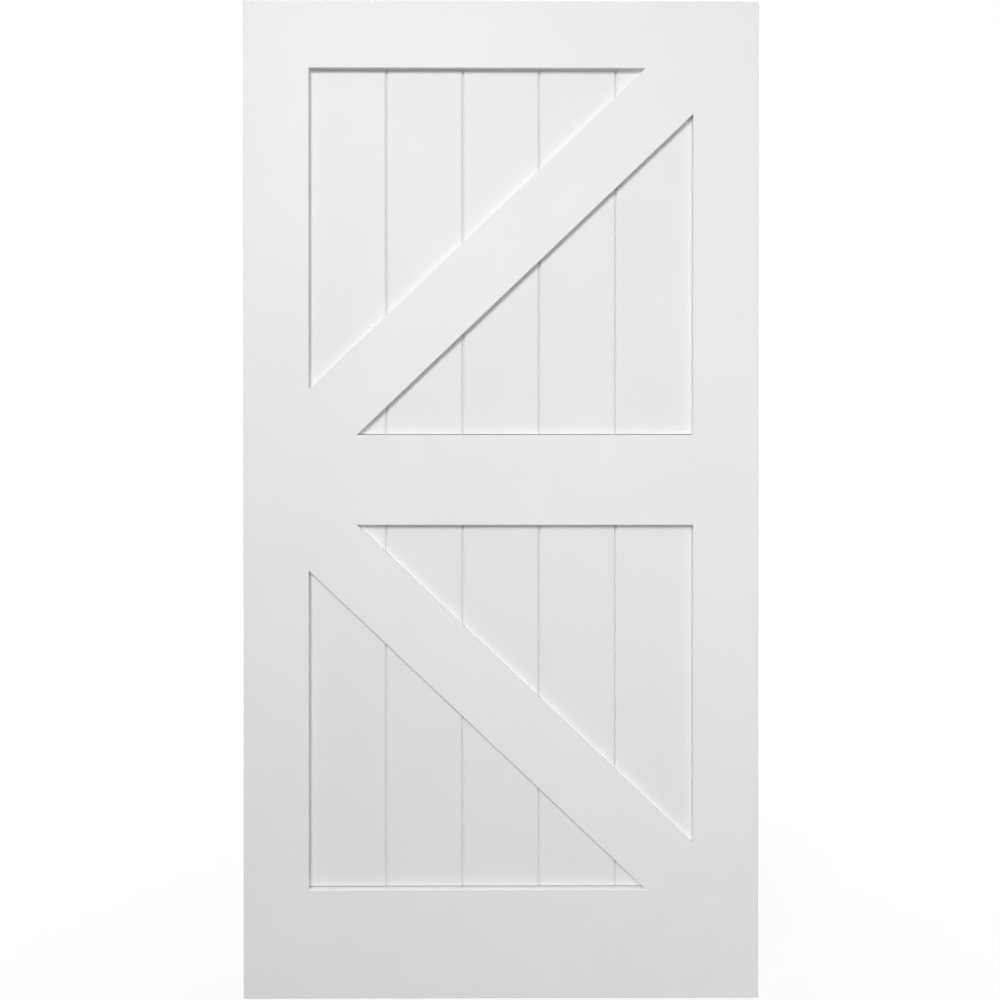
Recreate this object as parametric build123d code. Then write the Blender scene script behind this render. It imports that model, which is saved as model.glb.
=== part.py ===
from build123d import *

import math
import os

# Barn door slab with a K of diagonal braces over V-jointed boards, the same on both faces.
# Millimetres, +Z up, -Y the front. The origin is the middle of the top edge, where hangers carry the door.

# Slab
door_width = 1102.0
door_height = 2134.0
door_thickness = 40.0
slab_rounding = 2.0  # radius of the slab's outer arrises

# Frame: two stiles over the full height, three rails tenoned between them
stile_width = 140.0
top_rail_width = 144.0
middle_rail_width = 193.0
bottom_rail_width = 233.5
upper_opening_height = 784.0
arris = 1.0  # chamfer along the edges that look into an opening

# Joints of the frame: one groove takes the boards, the haunches and, deeper down, the tenons
groove_depth = 12.0
tenon_length = 70.0
haunch_width = 30.0  # part of a rail's end, at the slab's own edge, that enters the groove only
joint_end_gap = 0.5  # beyond the end of a haunch or a tenon

# Boards: tongue and groove, with a V at every joint
boards_across = 5
board_thickness = 16.0
v_chamfer = 3.5
board_gap = 0.3  # between neighbours, at the foot of the V
stile_gap = 0.8  # between the last board's shoulder and the right stile, where the field was closed
board_tongue_thickness = 5.0
board_tongue_length = 8.0
board_end_gap = 2.0  # room for a board to move in the frame's groove
foot_gap = 2.5  # between a board's lower shoulder and the rail under it, a fine line of shadow
side_gap = 0.2  # on each side of a tongue, haunch or tenon

# Braces
brace_width = 142.0

# Sizes that follow
opening_width = door_width - 2 * stile_width
lower_opening_height = (
    door_height - top_rail_width - upper_opening_height - middle_rail_width - bottom_rail_width
)
recess = (door_thickness - board_thickness) / 2
edge_thickness = board_thickness - 2 * v_chamfer  # at the foot of the V, and where the frame houses a board
groove_width = edge_thickness + 2 * side_gap
board_pitch = opening_width / boards_across

# Places that follow: heights below the top edge, and the inner faces of the stiles
upper_high = -top_rail_width
upper_low = upper_high - upper_opening_height
lower_high = upper_low - middle_rail_width
lower_low = lower_high - lower_opening_height
slab_low = -door_height
opening_right = opening_width / 2
opening_left = -opening_right


def block(x_range, y_range, z_range):
    """A box between three pairs of coordinates."""
    size = [high - low for low, high in (x_range, y_range, z_range)]
    middle = [(high + low) / 2 for low, high in (x_range, y_range, z_range)]
    return Pos(*middle) * Box(*size)


def centred(size):
    """The pair of coordinates of something centred in the thickness."""
    return (-size / 2, size / 2)


def polygon(outline):
    """A flat face looking along its plane's normal, whichever way round its corners are given."""
    face = Polygon(*outline, align=None)
    if face.face().normal_at().Z < 0:
        face = Polygon(*reversed(outline), align=None)
    return face


def slab_envelope():
    """The whole slab with its outer arrises rounded, which every frame piece is trimmed to."""
    slab = block(centred(door_width), centred(door_thickness), (slab_low, 0))
    return fillet(slab.edges(), slab_rounding)


# Braces and the open fields beside them


def brace_setbacks(knee_z, far_z):
    """How far a brace reaches from its corners, along the rails and along the stiles (signed)."""
    rise = far_z - knee_z
    length = math.hypot(opening_width, rise)
    along_rail = brace_width / 2 * length / abs(rise)
    along_stile = brace_width / 2 * length / opening_width
    return along_rail, math.copysign(along_stile, rise)


def brace_outline(knee_z, far_z):
    """Corners of a brace from the knee of the K, at the left stile, to the far corner, in X and Z."""
    along_rail, along_stile = brace_setbacks(knee_z, far_z)
    return [
        (opening_left, knee_z),
        (opening_left, knee_z + along_stile),
        (opening_right - along_rail, far_z),
        (opening_right, far_z),
        (opening_right, far_z - along_stile),
        (opening_left + along_rail, knee_z),
    ]


def field_outlines(knee_z, far_z):
    """The two triangles of boards that a brace leaves open in its opening, in X and Z."""
    along_rail, along_stile = brace_setbacks(knee_z, far_z)
    return [
        [(opening_left, far_z), (opening_left, knee_z + along_stile), (opening_right - along_rail, far_z)],
        [(opening_right, knee_z), (opening_right, far_z - along_stile), (opening_left + along_rail, knee_z)],
    ]


def field_mouth(outline):
    """The flare that chamfers the arrises round one field, on the front face."""
    mouth = offset(polygon(outline), arris, kind=Kind.INTERSECTION)
    return Plane.XZ.offset(door_thickness / 2) * extrude(mouth, -arris, taper=45)


def all_mouths():
    """The flares of every field, on both faces."""
    fields = field_outlines(upper_low, upper_high) + field_outlines(lower_high, lower_low)
    front = [field_mouth(outline) for outline in fields]
    return front + [mirror(mouth, Plane.XZ) for mouth in front]


def brace(knee_z, far_z, on_front):
    """A brace seated on the boards, flush with the frame, with its arrises chamfered."""
    seat = Plane.XZ.offset(board_thickness / 2)
    piece = seat * extrude(polygon(brace_outline(knee_z, far_z)), recess)
    if not on_front:
        piece = mirror(piece, Plane.XZ)
    return piece - mouths


# Frame


def tenon_range(low, high):
    """The heights between which a rail's tenon reaches deep into the stiles."""
    below = haunch_width if low == slab_low else groove_depth
    above = haunch_width if high == 0 else groove_depth
    return (low + below, high - above)


def haunch_range(low, high):
    """The heights between which a rail's end fills the stiles' groove."""
    below = 0 if low == slab_low else groove_depth
    above = 0 if high == 0 else groove_depth
    return (low + below, high - above)


rail_heights = {
    "top_rail": (upper_high, 0),
    "middle_rail": (lower_high, upper_low),
    "bottom_rail": (slab_low, lower_low),
}


def stile():
    """The right stile: a groove down its inner edge, and a mortise for each rail."""
    piece = block((opening_right, door_width / 2), centred(door_thickness), (slab_low, 0))
    piece -= block((opening_right, opening_right + groove_depth), centred(groove_width), (slab_low, 0))
    mortise_end = opening_right + tenon_length + joint_end_gap
    for low, high in rail_heights.values():
        tenon_low, tenon_high = tenon_range(low, high)
        mortise_z = (tenon_low - side_gap, tenon_high + side_gap)
        piece -= block((opening_right, mortise_end), centred(groove_width), mortise_z)
    return piece


def rail(low, high):
    """A rail: grooved where it looks into an opening, with a haunched tenon at each end."""
    piece = block((opening_left, opening_right), centred(door_thickness), (low, high))
    for edge, inward in ((low, 1), (high, -1)):
        if edge not in (slab_low, 0):
            groove_z = sorted((edge, edge + inward * groove_depth))
            piece -= block((opening_left, opening_right), centred(groove_width), groove_z)
    haunch_reach = opening_right + groove_depth - joint_end_gap
    piece += block((-haunch_reach, haunch_reach), centred(edge_thickness), haunch_range(low, high))
    tenon_reach = opening_right + tenon_length
    piece += block((-tenon_reach, tenon_reach), centred(edge_thickness), tenon_range(low, high))
    return piece


# Boards


def board_edge(foot, outward, kind):
    """Points down one edge of a board, from its front face to its back face.

    foot is where the board's own width or length ends, outward is -1 or 1, and kind is "housed" for a
    square shoulder whose tongue fills the frame's groove, or "tongue" or "groove" for a chamfered edge
    that meets the next board.
    """
    face, land = board_thickness / 2, edge_thickness / 2
    if kind == "housed":
        tip = foot + outward * (groove_depth - board_end_gap)
        front = [(foot, -face), (foot, -land), (tip, -land)]
    else:
        reach = board_tongue_length if kind == "tongue" else -board_tongue_length
        half = board_tongue_thickness / 2 + (side_gap if kind == "groove" else 0)
        tip = foot + outward * reach
        front = [(foot - outward * v_chamfer, -face), (foot, -land), (foot, -half), (tip, -half)]
    return front + [(across, -depth) for across, depth in reversed(front)]


def board_outline(first, last, first_kind, last_kind):
    """A closed outline of a board from one edge to the other, across its width or along its length."""
    return board_edge(first, -1, first_kind) + list(reversed(board_edge(last, 1, last_kind)))


def board(index, low, high):
    """One board: its section run along its length, met by its long section run across its width."""
    is_first, is_last = index == 0, index == boards_across - 1
    left = opening_left + index * board_pitch + (0 if is_first else board_gap / 2)
    right = opening_left + (index + 1) * board_pitch - (stile_gap if is_last else board_gap / 2)
    across = board_outline(
        left, right, "housed" if is_first else "groove", "housed" if is_last else "tongue"
    )
    along = board_outline(low + foot_gap, high, "housed", "housed")
    lengthwise = Pos(0, 0, low - groove_depth) * extrude(polygon(across), high - low + 2 * groove_depth)
    end = Plane((left - groove_depth, 0, 0), x_dir=(0, 0, 1), z_dir=(1, 0, 0))
    crosswise = end * extrude(polygon(along), right - left + 2 * groove_depth)
    return lengthwise & crosswise


# Assembly

envelope = slab_envelope()
mouths = all_mouths()
right_stile = (stile() & envelope) - mouths
pieces = {"right_stile": right_stile, "left_stile": (mirror(stile(), Plane.YZ) & envelope) - mouths}
for name, (low, high) in rail_heights.items():
    tenoned = rail(low, high)
    pieces[name] = (tenoned & envelope) - mouths
for index in range(boards_across):
    pieces[f"upper_board_{index + 1}"] = board(index, upper_low, upper_high)
    pieces[f"lower_board_{index + 1}"] = board(index, lower_low, lower_high)
for face, on_front in (("front", True), ("back", False)):
    pieces[f"{face}_upper_brace"] = brace(upper_low, upper_high, on_front)
    pieces[f"{face}_lower_brace"] = brace(lower_high, lower_low, on_front)

os.makedirs("parts", exist_ok=True)
for name, piece in pieces.items():
    export_step(piece, f"parts/{name}.step")
    print(name, "solids", len(piece.solids()), "volume", round(piece.volume), "valid", piece.is_valid)
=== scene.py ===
# %% [markdown]
# # A white primed barn door
# The slab is joined woodwork: two stiles, three rails, a K of diagonal braces on each face, and V-jointed
# boards in the two openings. The frame file holds that construction at full size. This lesson gives it what
# the eye meets: eased edges, boards that Geometry Nodes sweep and repeat, a sprayed white primer, soft
# light from the upper left, and a camera square in front of it.

import bmesh
import bpy
import math
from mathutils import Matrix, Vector


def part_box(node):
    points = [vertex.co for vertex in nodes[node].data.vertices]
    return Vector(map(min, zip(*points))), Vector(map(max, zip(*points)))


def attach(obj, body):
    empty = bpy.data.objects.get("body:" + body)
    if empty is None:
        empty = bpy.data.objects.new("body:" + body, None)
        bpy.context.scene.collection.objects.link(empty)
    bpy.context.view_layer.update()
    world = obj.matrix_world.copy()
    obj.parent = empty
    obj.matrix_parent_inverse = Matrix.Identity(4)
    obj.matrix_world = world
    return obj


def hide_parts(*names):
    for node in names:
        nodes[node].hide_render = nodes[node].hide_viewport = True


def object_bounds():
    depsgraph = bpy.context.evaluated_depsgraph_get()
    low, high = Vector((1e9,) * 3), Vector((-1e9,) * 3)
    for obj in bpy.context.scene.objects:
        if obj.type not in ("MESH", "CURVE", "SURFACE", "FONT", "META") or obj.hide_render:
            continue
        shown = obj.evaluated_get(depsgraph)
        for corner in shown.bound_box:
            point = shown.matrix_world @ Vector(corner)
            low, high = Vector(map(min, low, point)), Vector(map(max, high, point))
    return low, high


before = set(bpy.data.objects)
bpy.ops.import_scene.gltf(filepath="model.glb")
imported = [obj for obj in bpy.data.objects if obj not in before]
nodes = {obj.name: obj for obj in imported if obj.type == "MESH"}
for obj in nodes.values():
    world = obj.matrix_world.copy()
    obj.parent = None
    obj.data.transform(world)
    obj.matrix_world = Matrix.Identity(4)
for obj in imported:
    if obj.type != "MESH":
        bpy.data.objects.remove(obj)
cad_low, cad_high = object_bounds()
door_centre = (cad_low + cad_high) / 2
MM = 0.001
print("door", [round(side, 3) for side in cad_high - cad_low], "m, from", len(nodes), "pieces")

# %% [markdown]
# ## Colour and nodes
# Colours are written as the hex values that a picture would show. Blender mixes light in linear numbers, so
# one function turns each hex value into those. Materials and Geometry Nodes are both made of nodes, and one
# small function adds any of them: it sets what the node is told, and joins its inputs to earlier nodes.


# %% Hex colour to linear
def linear(hex_colour):
    """Linear red, green, blue and alpha of an sRGB hex value, by the curve of that standard."""
    channels = [int(hex_colour[place:place + 2], 16) / 255 for place in (1, 3, 5)]
    return [c / 12.92 if c <= 0.04045 else ((c + 0.055) / 1.055) ** 2.4 for c in channels] + [1.0]


print("middle grey is", [round(channel, 3) for channel in linear("#808080")])


# %% Add a node
def add_node(tree, kind, inputs=None, **settings):
    """Adds a node. inputs maps a socket's name or number to a value, an output, or a node's first output."""
    node = tree.nodes.new(kind)
    for name, value in settings.items():
        setattr(node, name, value)
    for name, value in (inputs or {}).items():
        if isinstance(value, bpy.types.Node):
            value = value.outputs[0]
        if isinstance(value, bpy.types.NodeSocket):
            tree.links.new(value, node.inputs[name])
        else:
            node.inputs[name].default_value = value
    return node


print("one helper adds every node")

# %% [markdown]
# ## Primer on pine
# The wood is pine under two sprayed coats of white primer. It looks an even, soft white with a dull, broad
# sheen. Spraying leaves a fine orange peel, a hair's breadth high and a couple of millimetres across, and the
# grain still lifts the film a little in long streaks. The streaks follow each piece: upright on stiles and
# boards, level on rails, along the arms of the K on braces. An image could show this, but it would blur up
# close and repeat. So the finish is noise in real millimetres, in one function that is told the grain's lean.
# An attribute of the boards says where their ends are housed, and there a grey is painted in as shade.

# %% Sizes of the primer's marks
PEEL_MM = 2.2  # spacing of the orange peel; real peel is about 1.5, drawn coarser so that it shows
PEEL_HEIGHT_MM = 0.035
PEEL_NOISE = {"Detail": 1.0, "Roughness": 0.4}  # smooth dimples with little on them
GRAIN_MM = 5.0  # width of a streak of raised grain
GRAIN_STRETCH = 40  # a streak is this many times longer than it is wide
GRAIN_HEIGHT_MM = 0.025
GRAIN_NOISE = {"Detail": 3.0, "Roughness": 0.55}  # streaks with finer fibres in them
CLOUD_MM = 160.0  # size of the faint patches where the coat is thicker
CLOUD_NOISE = {"Detail": 2.0}
PLANK_STEP_MM = 370.0  # how far the grain jumps from one board to the next, which came from another plank
FRAME_COATS = ("#EAEAEA", "#ECECEC")  # where the coat is thin, and where it is thick
BOARD_COATS = ("#E7E7E7", "#E9E9E9")  # a little darker than the frame's coats
COAT_ENDS = (0.3, 0.7)  # cloud noise at which the coat is thinnest, and at which it is thickest
HOUSED_END_SHADE = "#A8A8A6"  # grey painted on a board's housed end as shade in the gap under it
DULL_PEEL, DULL_VALLEY = 0.46, 0.56  # roughness on the tops of the peel and between them
PRIMER_IOR = 1.5
print("orange peel", PEEL_MM, "mm, grain", GRAIN_MM, "mm")


# %% Sprayed primer
def sprayed_primer(name, lean, coats=FRAME_COATS):
    """White primer over pine whose grain leans by that angle from upright, about the Y axis."""
    material = bpy.data.materials.new(name)
    material.use_nodes = True
    tree = material.node_tree
    shader = tree.nodes["Principled BSDF"]
    shader.inputs["IOR"].default_value = PRIMER_IOR

    place = add_node(tree, "ShaderNodeTexCoord").outputs["Object"]
    board = add_node(tree, "ShaderNodeAttribute", attribute_name="board_number").outputs["Fac"]
    jump = add_node(tree, "ShaderNodeMath", {0: board, 1: PLANK_STEP_MM * MM}, operation="MULTIPLY")
    plank = add_node(tree, "ShaderNodeVectorMath", {0: place, 1: jump}, operation="ADD")
    turned = add_node(tree, "ShaderNodeMapping", {"Vector": plank, "Rotation": (0, -lean, 0)})
    drawn_out = add_node(tree, "ShaderNodeMapping", {"Vector": turned, "Scale": (1, 1, 1 / GRAIN_STRETCH)})
    grain = add_node(tree, "ShaderNodeTexNoise",
                     {"Vector": drawn_out, "Scale": 1 / (GRAIN_MM * MM), **GRAIN_NOISE})
    peel = add_node(tree, "ShaderNodeTexNoise", {"Vector": place, "Scale": 1 / (PEEL_MM * MM), **PEEL_NOISE})
    clouds = add_node(tree, "ShaderNodeTexNoise",
                      {"Vector": plank, "Scale": 1 / (CLOUD_MM * MM), **CLOUD_NOISE})

    cover = add_node(tree, "ShaderNodeValToRGB", {"Fac": clouds})
    for element, coat, position in zip(cover.color_ramp.elements, coats, COAT_ENDS):
        element.color = linear(coat)
        element.position = position
    # the housed ends take the grey of painted shade for the gap under each board
    housed = add_node(tree, "ShaderNodeAttribute", attribute_name="housed").outputs["Fac"]
    colour = add_node(tree, "ShaderNodeMixRGB",
                      {0: housed, 1: cover.outputs["Color"], 2: linear(HOUSED_END_SHADE)})
    dullness = add_node(tree, "ShaderNodeMapRange",
                        {"Value": peel, "To Min": DULL_VALLEY, "To Max": DULL_PEEL})
    raised = add_node(tree, "ShaderNodeBump", {"Height": grain, "Distance": GRAIN_HEIGHT_MM * MM})
    film = add_node(tree, "ShaderNodeBump",
                    {"Height": peel, "Distance": PEEL_HEIGHT_MM * MM, "Normal": raised})
    tree.links.new(colour.outputs["Color"], shader.inputs["Base Color"])
    tree.links.new(dullness.outputs["Result"], shader.inputs["Roughness"])
    tree.links.new(film.outputs["Normal"], shader.inputs["Normal"])
    return material


upright = sprayed_primer("sprayed_primer_on_upright_pine", 0.0)
level = sprayed_primer("sprayed_primer_on_level_pine", math.pi / 2)
print("finishes", upright.name, level.name)


# %% Grain along the braces
def brace_lean(name):
    """The lean of a brace from upright, from its box, because it runs from corner to corner of an opening."""
    low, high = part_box(name)
    return math.atan2(high.x - low.x, high.z - low.z)


rising = sprayed_primer("sprayed_primer_on_rising_pine", brace_lean("front_upper_brace"))
falling = sprayed_primer("sprayed_primer_on_falling_pine", -brace_lean("front_lower_brace"))
print("braces lean", round(math.degrees(brace_lean("front_upper_brace")), 1), "degrees")

# %% [markdown]
# ## Frame and braces
# On the real door the edges that look into an opening are chamfered, then sanded and primed, so no edge
# stays sharp: each catches a thin soft line of light. The frame's pieces have the chamfers with crisp edges.
# A Bevel modifier would also round the flush joints between the pieces, where the paint runs on unbroken.
# So a copy of each piece is beveled in bmesh along the edges of its chamfers alone, which are the only ones
# that turn by about 45 degrees.

# %% Ease the chamfers of one piece
EASING_MM = 0.35
EASING_STEPS = 2
ROUND_PROFILE = 0.5  # an arc of a circle
SAME_POINT_MM = 0.001
FLAT = math.radians(0.2)  # faces that meet at less than this are one face
CHAMFER_TURN = math.radians(45)
TURN_TOLERANCE = math.radians(10)


def eased_copy(name):
    """A copy of a frame piece with the edges of its chamfers rounded over."""
    mesh = nodes[name].data.copy()
    for layer in ("custom_normal", "sharp_edge", "sharp_face"):
        mesh.attributes.remove(mesh.attributes[layer])
    work = bmesh.new()
    work.from_mesh(mesh)
    bmesh.ops.remove_doubles(work, verts=work.verts, dist=SAME_POINT_MM * MM)
    bmesh.ops.dissolve_limit(work, verts=work.verts, edges=work.edges, angle_limit=FLAT)
    crisp = [edge for edge in work.edges if abs(edge.calc_face_angle() - CHAMFER_TURN) < TURN_TOLERANCE]
    bmesh.ops.bevel(work, geom=crisp, affect="EDGES",
                    offset=EASING_MM * MM, segments=EASING_STEPS, profile=ROUND_PROFILE)
    for face in work.faces:
        face.smooth = False
    work.to_mesh(mesh)
    work.free()
    piece = bpy.data.objects.new(f"eased_{name}", mesh)
    bpy.context.scene.collection.objects.link(piece)
    return piece


print("chamfers are eased by", EASING_MM, "mm")


# %% Ease and finish the frame and the braces
def finish_for(name):
    """The primer whose grain runs along that piece."""
    if "rail" in name:
        return level
    if "upper_brace" in name:
        return rising
    if "lower_brace" in name:
        return falling
    return upright


framing = [name for name in nodes if "board" not in name]
for name in framing:
    piece = eased_copy(name)
    piece.data.materials.clear()
    piece.data.materials.append(finish_for(name))
    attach(piece, "root")
    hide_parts(name)
    print(piece.name, len(piece.data.polygons), "faces")

# %% [markdown]
# ## Boards
# Each opening is closed by five tongue-and-groove boards. Their meeting edges are chamfered, so that every
# joint shows as a V, and their ends and outer edges enter a groove in the frame. A board is one section run
# along its length, and a field is one board repeated, which is what Geometry Nodes are for. The section and
# the run are drawn as curves. The tree rounds the section's corners, sweeps it along the run, thins both
# ends to what the frame houses, marks those ends for a grey of painted shade, and sets the boards side by
# side. The first and the last board have their own sections, because they enter the stiles.

# %% Sizes of the boards
BOARDS = 5
V_CHAMFER = 3.5 * MM
V_ROUNDING = 0.8 * MM  # sanding softens the edge where the V leaves the face
BOARD_GAP = 0.3 * MM
STILE_GAP = 0.35 * MM  # beside the right stile; the frame's 0.8 shows wider than the real line does
TONGUE_LENGTH = 8.0 * MM
TONGUE_HALF = 2.5 * MM
TONGUE_ROOM = 0.2 * MM
HOUSING = 10.0 * MM  # how far a board enters the frame's groove
FOOT_GAP = 2.5 * MM  # a fine line between the boards and the rail under them, dark from its shadow and from painted shade
HAIR = 0.05 * MM  # keeps the two outlines of a shoulder apart
FACE_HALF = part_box("upper_board_1")[1].y
HOUSED_HALF = FACE_HALF - V_CHAMFER
opening_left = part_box("left_stile")[1].x
opening_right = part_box("right_stile")[0].x
PITCH = (opening_right - opening_left) / BOARDS
recessed = sprayed_primer("sprayed_primer_on_boards", 0.0, BOARD_COATS)
print("boards", BOARDS, "at", round(PITCH / MM, 1), "mm, finished in", recessed.name)


# %% Draw a board's sections
def draw_curve(name, corners, closed):
    """A curve through corners of x, y, z and rounding, which is kept as the point's radius."""
    curve = bpy.data.curves.new(name, "CURVE")
    curve.dimensions = "3D"
    spline = curve.splines.new("POLY")
    spline.points.add(len(corners) - 1)
    for point, (x, y, z, rounding) in zip(spline.points, corners):
        point.co = (x, y, z, 1)
        point.radius = rounding
    spline.use_cyclic_u = closed
    drawn = bpy.data.objects.new(name, curve)
    bpy.context.scene.collection.objects.link(drawn)
    return drawn


def long_edge(foot, outward, kind):
    """Corners down a long edge from the front face to the back: place across, depth and rounding."""
    if kind == "housed":
        front = [
            (foot, -FACE_HALF, 0),
            (foot, -HOUSED_HALF, 0),
            (foot + outward * HOUSING, -HOUSED_HALF, 0),
        ]
    else:
        reach, half = {
            "tongue": (TONGUE_LENGTH, TONGUE_HALF),
            "groove": (-TONGUE_LENGTH, TONGUE_HALF + TONGUE_ROOM),
        }[kind]
        front = [
            (foot - outward * V_CHAMFER, -FACE_HALF, V_ROUNDING),
            (foot, -HOUSED_HALF, 0),
            (foot, -half, 0),
            (foot + outward * reach, -half, 0),
        ]
    return front + [(across, -depth, rounding) for across, depth, rounding in reversed(front)]


def board_section(name, left_kind, right_kind):
    """A board's outline about the middle of its pitch, seen from above."""
    left = -PITCH / 2 + (0 if left_kind == "housed" else BOARD_GAP / 2)
    right = PITCH / 2 - (STILE_GAP if right_kind == "housed" else BOARD_GAP / 2)
    corners = list(reversed(long_edge(left, -1, left_kind))) + long_edge(right, 1, right_kind)
    return draw_curve(name, [(across, depth, 0, rounding) for across, depth, rounding in corners], True)


sections = {
    "First section": board_section("first_section", "housed", "tongue"),
    "Middle section": board_section("middle_section", "groove", "tongue"),
    "Last section": board_section("last_section", "groove", "housed"),
}
print("corners", [len(drawn.data.splines[0].points) for drawn in sections.values()])

# %% Name the inputs of the tree
boards_tree = bpy.data.node_groups.new("boards_side_by_side", "GeometryNodeTree")
TREE_INPUTS = {
    **{name: "NodeSocketObject" for name in sections},
    "Run": "NodeSocketObject",
    "Boards": "NodeSocketInt",
    "First place": "NodeSocketFloat",
    "Pitch": "NodeSocketFloat",
    "Middle height": "NodeSocketFloat",
    "Half length": "NodeSocketFloat",
    "Face half": "NodeSocketFloat",
    "Housed half": "NodeSocketFloat",
    "Finish": "NodeSocketMaterial",
}
identifiers = {
    name: boards_tree.interface.new_socket(name, in_out="INPUT", socket_type=kind).identifier
    for name, kind in TREE_INPUTS.items()
}
boards_tree.interface.new_socket("Geometry", in_out="OUTPUT", socket_type="NodeSocketGeometry")
sizes = add_node(boards_tree, "NodeGroupInput").outputs
print("inputs", list(identifiers))

# %% Thin the ends of a board to what the frame houses
position = add_node(boards_tree, "GeometryNodeInputPosition")
place = add_node(boards_tree, "ShaderNodeSeparateXYZ", {0: position})
from_middle = add_node(boards_tree, "ShaderNodeMath",
                       {0: place.outputs["Z"], 1: sizes["Middle height"]}, operation="SUBTRACT")
away = add_node(boards_tree, "ShaderNodeMath", {0: from_middle}, operation="ABSOLUTE")
is_housed = add_node(boards_tree, "ShaderNodeMath",
                     {0: away, 1: sizes["Half length"]}, operation="GREATER_THAN")
half = add_node(boards_tree, "ShaderNodeMapRange",
                {"Value": is_housed, "To Min": sizes["Face half"], "To Max": sizes["Housed half"]})
least = add_node(boards_tree, "ShaderNodeMath", {0: half, 1: -1.0}, operation="MULTIPLY")
depth = add_node(boards_tree, "ShaderNodeClamp", {"Value": place.outputs["Y"], "Min": least, "Max": half})
thinned = add_node(boards_tree, "ShaderNodeCombineXYZ",
                   {"X": place.outputs["X"], "Y": depth, "Z": place.outputs["Z"]})
print("nodes so far", len(boards_tree.nodes))

# %% A point for each board
WHOLE_A, WHOLE_B = 2, 3  # the Compare node's two sockets for whole numbers
start = add_node(boards_tree, "ShaderNodeCombineXYZ", {"X": sizes["First place"]})
step = add_node(boards_tree, "ShaderNodeCombineXYZ", {"X": sizes["Pitch"]})
row = add_node(boards_tree, "GeometryNodeMeshLine",
               {"Count": sizes["Boards"], "Start Location": start, "Offset": step})
index = add_node(boards_tree, "GeometryNodeInputIndex")
numbered = add_node(boards_tree, "GeometryNodeStoreNamedAttribute",
                    {"Geometry": row, "Name": "board_number", "Value": index})
last_index = add_node(boards_tree, "ShaderNodeMath", {0: sizes["Boards"], 1: 1.0}, operation="SUBTRACT")
is_first = add_node(boards_tree, "FunctionNodeCompare",
                    {WHOLE_A: index, WHOLE_B: 0}, data_type="INT", operation="EQUAL")
is_last = add_node(boards_tree, "FunctionNodeCompare",
                   {WHOLE_A: index, WHOLE_B: last_index}, data_type="INT", operation="EQUAL")
is_middle = add_node(boards_tree, "FunctionNodeBooleanMath", {0: is_first, 1: is_last}, operation="NOR")
print("nodes so far", len(boards_tree.nodes))

# %% Sweep the sections and set the boards out
ROUNDING_POINTS = 4
run = add_node(boards_tree, "GeometryNodeObjectInfo", {"Object": sizes["Run"]}).outputs["Geometry"]
rounding = add_node(boards_tree, "GeometryNodeInputRadius")
together = add_node(boards_tree, "GeometryNodeJoinGeometry")
for section, chosen in zip(sections, (is_first, is_middle, is_last)):
    drawn = add_node(boards_tree, "GeometryNodeObjectInfo", {"Object": sizes[section]}).outputs["Geometry"]
    rounded = add_node(boards_tree, "GeometryNodeFilletCurve",
                       {"Curve": drawn, "Count": ROUNDING_POINTS, "Radius": rounding}, mode="POLY")
    swept = add_node(boards_tree, "GeometryNodeCurveToMesh",
                     {"Curve": run, "Profile Curve": rounded, "Fill Caps": True})
    faceted = add_node(boards_tree, "GeometryNodeSetShadeSmooth",
                       {"Geometry": swept, "Shade Smooth": False})
    board = add_node(boards_tree, "GeometryNodeSetPosition", {"Geometry": faceted, "Position": thinned})
    marked = add_node(boards_tree, "GeometryNodeStoreNamedAttribute",
                      {"Geometry": board, "Name": "housed", "Value": is_housed})
    placed = add_node(boards_tree, "GeometryNodeInstanceOnPoints",
                      {"Points": numbered, "Selection": chosen, "Instance": marked})
    boards_tree.links.new(placed.outputs["Instances"], together.inputs["Geometry"])
realized = add_node(boards_tree, "GeometryNodeRealizeInstances", {"Geometry": together})
finished = add_node(boards_tree, "GeometryNodeSetMaterial",
                    {"Geometry": realized, "Material": sizes["Finish"]})
add_node(boards_tree, "NodeGroupOutput", {"Geometry": finished})
print("nodes in all", len(boards_tree.nodes))


# %% Make a field of boards a plain mesh
def board_field(name, low, high):
    """The boards of one opening, between the shoulders at these heights, as one mesh."""
    outline_heights = [low - HOUSING, low - HAIR, low, high, high + HAIR, high + HOUSING]
    run_curve = draw_curve(f"{name}_run", [(0, 0, height, 1) for height in outline_heights], False)
    values = {
        **sections,
        "Run": run_curve,
        "Boards": BOARDS,
        "First place": opening_left + PITCH / 2,
        "Pitch": PITCH,
        "Middle height": (low + high) / 2,
        "Half length": (high - low + HAIR) / 2,
        "Face half": FACE_HALF,
        "Housed half": HOUSED_HALF,
        "Finish": recessed,
    }
    maker = bpy.data.objects.new(f"{name}_maker", bpy.data.meshes.new(f"{name}_maker"))
    bpy.context.scene.collection.objects.link(maker)
    modifier = maker.modifiers.new("boards", "NODES")
    modifier.node_group = boards_tree
    for socket, value in values.items():
        modifier[identifiers[socket]] = value
    mesh = bpy.data.meshes.new_from_object(maker.evaluated_get(bpy.context.evaluated_depsgraph_get()))
    for helper in (maker, run_curve):
        bpy.data.objects.remove(helper)
    mesh.name = name
    mesh.materials.pop(index=0)  # the empty slot that swept meshes bring
    field = bpy.data.objects.new(name, mesh)
    bpy.context.scene.collection.objects.link(field)
    return field


openings = {
    "upper": (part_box("middle_rail")[1].z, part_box("top_rail")[0].z),
    "lower": (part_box("bottom_rail")[1].z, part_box("middle_rail")[0].z),
}
for opening, (low, high) in openings.items():
    field = board_field(f"{opening}_boards", low + FOOT_GAP, high)
    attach(field, "root")
    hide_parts(*[f"{opening}_board_{number + 1}" for number in range(BOARDS)])
    print(field.name, len(field.data.polygons), "faces, box", [round(side, 4) for side in field.dimensions])
for drawn in sections.values():
    bpy.data.objects.remove(drawn)

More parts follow.
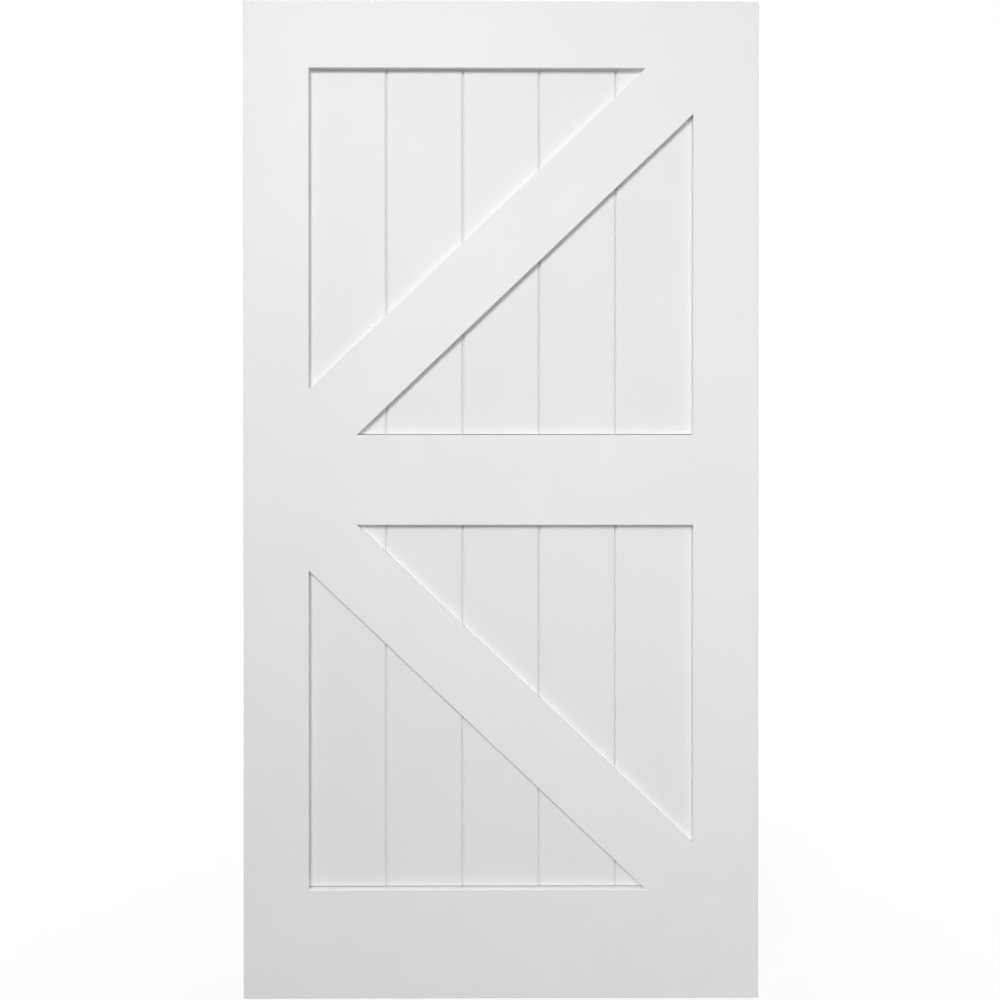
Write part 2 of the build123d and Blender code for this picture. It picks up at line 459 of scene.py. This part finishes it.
# %% [markdown]
# ## Floor
# A plain pale floor lies a finger's breadth under the hung door. Behind the door it has to read as white
# paper. A brighter lamp on it would also light the door from below. So to the camera, and in gloss or glass,
# the floor glows by itself. Near the door it glows with most of the white, and a thin grey layer adds the
# rest where light reaches it, so the door's shadow shows there. Further away it glows with all of the white,
# and its far edge can't be told from the backdrop.

# %% Floor
FLOOR_GAP = 12 * MM
FLOOR_HALF = 12.0
NEAR_GLOW, FAR_GLOW = 0.90, 1.0
GLOW_NEAR, GLOW_FAR = 0.6, 3.0  # metres from the door between which the glow rises
PAPER_GREY = "#4A4A4A"
floor_z = cad_low.z - FLOOR_GAP
floor_mesh = bpy.data.meshes.new("floor")
corners = [(-1, -1), (1, -1), (1, 1), (-1, 1)]
floor_mesh.from_pydata([(x * FLOOR_HALF, y * FLOOR_HALF, floor_z) for x, y in corners], [], [(0, 1, 2, 3)])
floor = bpy.data.objects.new("floor", floor_mesh)
bpy.context.scene.collection.objects.link(floor)
print("floor at", round(floor_z, 3))


# %% Paper
def seen_directly(tree):
    """1 for rays from the camera, in gloss or through glass, and 0 for the light that surfaces exchange."""
    rays = add_node(tree, "ShaderNodeLightPath").outputs
    mirrored = add_node(tree, "ShaderNodeMath",
                        {0: rays["Is Glossy Ray"], 1: rays["Is Transmission Ray"]}, operation="MAXIMUM")
    return add_node(tree, "ShaderNodeMath", {0: rays["Is Camera Ray"], 1: mirrored}, operation="MAXIMUM")


paper = bpy.data.materials.new("matt_white_paper")
paper.use_nodes = True
paper_tree = paper.node_tree
paper_tree.nodes.clear()
on_floor = add_node(paper_tree, "ShaderNodeTexCoord").outputs["Object"]
level_part = add_node(paper_tree, "ShaderNodeVectorMath", {0: on_floor, 1: (1, 1, 0)}, operation="MULTIPLY")
from_door = add_node(paper_tree, "ShaderNodeVectorMath", {0: level_part}, operation="LENGTH").outputs["Value"]
white = add_node(paper_tree, "ShaderNodeMapRange", {
    "Value": from_door, "From Min": GLOW_NEAR, "From Max": GLOW_FAR, "To Min": NEAR_GLOW, "To Max": FAR_GLOW,
})
shown = add_node(paper_tree, "ShaderNodeMath",
                 {0: seen_directly(paper_tree), 1: white}, operation="MULTIPLY")
glow = add_node(paper_tree, "ShaderNodeEmission", {"Strength": shown})
lit = add_node(paper_tree, "ShaderNodeBsdfDiffuse", {"Color": linear(PAPER_GREY)})
both = add_node(paper_tree, "ShaderNodeAddShader", {0: glow, 1: lit})
add_node(paper_tree, "ShaderNodeOutputMaterial", {"Surface": both})
floor_mesh.materials.append(paper)
print("paper glows at", NEAR_GLOW, "to", FAR_GLOW)

# %% [markdown]
# ## White surroundings
# The backdrop is plain white, as a studio sweep is. If all of it lit the door, the shadows under the rails
# and in the V joints would wash out. So the world is white where it is seen, and less than a third as bright
# as a light.

# %% World
AMBIENT, SEEN_WHITE = 0.31, 1.0  # strength as a light, and where the backdrop is seen
world = bpy.data.worlds.new("white_sweep")
bpy.context.scene.world = world
world.use_nodes = True
world_tree = world.node_tree
world_tree.nodes.clear()
strength = add_node(world_tree, "ShaderNodeMapRange",
                    {"Value": seen_directly(world_tree), "To Min": AMBIENT, "To Max": SEEN_WHITE})
around = add_node(world_tree, "ShaderNodeBackground", {"Color": linear("#FFFFFF"), "Strength": strength})
add_node(world_tree, "ShaderNodeOutputWorld", {"Surface": around})
bpy.context.scene.view_settings.view_transform = "Standard"
print("ambient", AMBIENT)

# %% [markdown]
# ## Lamps
# The shadows on the door fall to the right and downwards, wider towards its foot, so its light hangs high on
# the left. A bare lamp there would glare on the near corner. So the key is a large softbox with a mild grid,
# turned past the far lower corner, and a weaker softbox on the right lifts what it leaves dark. The same
# pair, turned half round, lights the back, which the first pair never reaches.


# %% Softboxes
def softbox(name, place, size, aim, spread, watts, turn):
    """A square lamp at a place measured from the middle of a face of the door, turned to a point on it."""
    data = bpy.data.lights.new(name, "AREA")
    data.shape = "SQUARE"
    data.size = size
    data.spread = math.radians(spread)
    data.energy = watts
    lamp = bpy.data.objects.new(name, data)
    to_face = Vector((0, cad_low.y - door_centre.y, 0))
    spot = Vector(place) + to_face
    target = Vector((aim[0], 0, aim[1])) + to_face
    if turn:
        spot = Vector((-spot.x, -spot.y, spot.z))
        target = Vector((-target.x, -target.y, target.z))
    lamp.location = door_centre + spot
    lamp.rotation_euler = (target - spot).to_track_quat("-Z", "Y").to_euler()
    bpy.context.scene.collection.objects.link(lamp)
    return lamp


# Places, sizes and aims are in metres, spreads in degrees.
LAMPS = {
    "key": {"place": (-1.3, -4.6, 2.8), "size": 2.6, "aim": (1.9, -1.9), "spread": 109, "watts": 98.5},
    "fill": {"place": (1.5, -5.0, 0.0), "size": 2.5, "aim": (0, 0), "spread": 180, "watts": 52},
}
for face, turn in (("front", False), ("back", True)):
    for role, settings in LAMPS.items():
        lamp = softbox(f"{face}_{role}", **settings, turn=turn)
        print(lamp.name, "at", [round(side, 2) for side in lamp.location])

# %% [markdown]
# ## Camera
# The camera stands close and square to the door, a little above its middle, so the inner walls of the
# openings just show on every side, and those at the foot show most. Tilting it down to centre the door would
# make the stiles converge, so the lens is shifted down instead. How much of the door's plane the picture
# covers gives the focal length.

# %% Camera
CAMERA_DISTANCE = 1.80
FRAME_HEIGHT = 2.1383  # metres of the door's front plane from the top to the bottom of the picture
CAMERA_RISE = 80 * MM  # above the middle, made up for by the shifted lens
CAMERA_ASIDE, CAMERA_UP = -9.1 * MM, 3.1 * MM  # the few millimetres by which it stands off square
AIM_ASIDE = -2.5 * MM
SENSOR_MM = 36.0
camera_data = bpy.data.cameras.new("camera")
camera_data.sensor_width = SENSOR_MM
camera_data.lens = SENSOR_MM * CAMERA_DISTANCE / FRAME_HEIGHT
camera_data.shift_y = -CAMERA_RISE / FRAME_HEIGHT
camera = bpy.data.objects.new("camera", camera_data)
camera.location = (CAMERA_ASIDE, cad_low.y - CAMERA_DISTANCE, door_centre.z + CAMERA_RISE + CAMERA_UP)
target = Vector((AIM_ASIDE, cad_low.y, door_centre.z + CAMERA_RISE))
camera.rotation_euler = (target - camera.location).to_track_quat("-Z", "Y").to_euler()
bpy.context.scene.collection.objects.link(camera)
bpy.context.scene.camera = camera
print("lens", round(camera_data.lens, 2), "mm")
